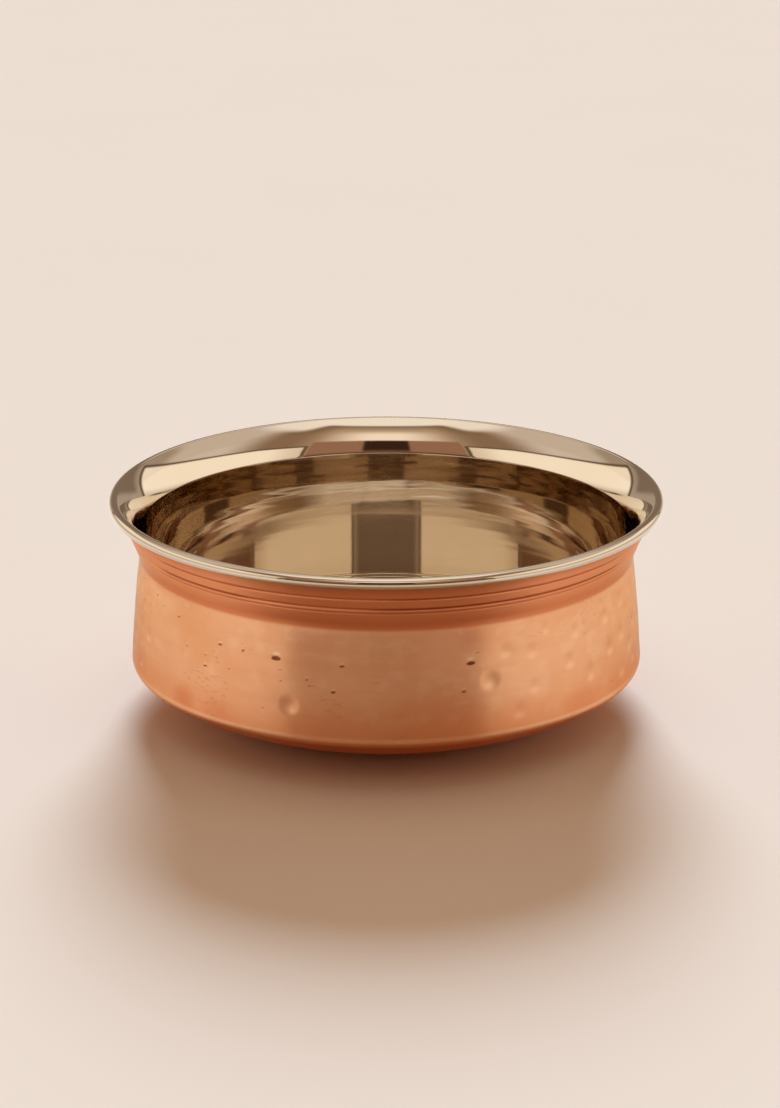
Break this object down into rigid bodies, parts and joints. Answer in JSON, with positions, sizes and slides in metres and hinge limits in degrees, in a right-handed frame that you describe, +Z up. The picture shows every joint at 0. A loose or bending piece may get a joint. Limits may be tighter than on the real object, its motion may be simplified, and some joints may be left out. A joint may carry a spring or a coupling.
{
  "type": "serving pot",
  "caption": "Low, wide, open serving pot: hammered copper shell with a drawn-in neck and dished base, bright steel bowl inside, flared mouth and rolled lip.",
  "frame": {"origin": "centre of the flat base, on the surface that the pot stands on", "axes": "+Z up along the pot's axis of revolution; the camera in the picture is on the -Y side"},
  "size_m": [0.165, 0.165, 0.065],
  "materials": {
    "copper": "hammered, polished",
    "steel": "polished, faint turning lines"
  },
  "bodies": {
    "root": {"copper_jacket": "copper", "steel_liner": "steel"}
  },
  "joints": []
}
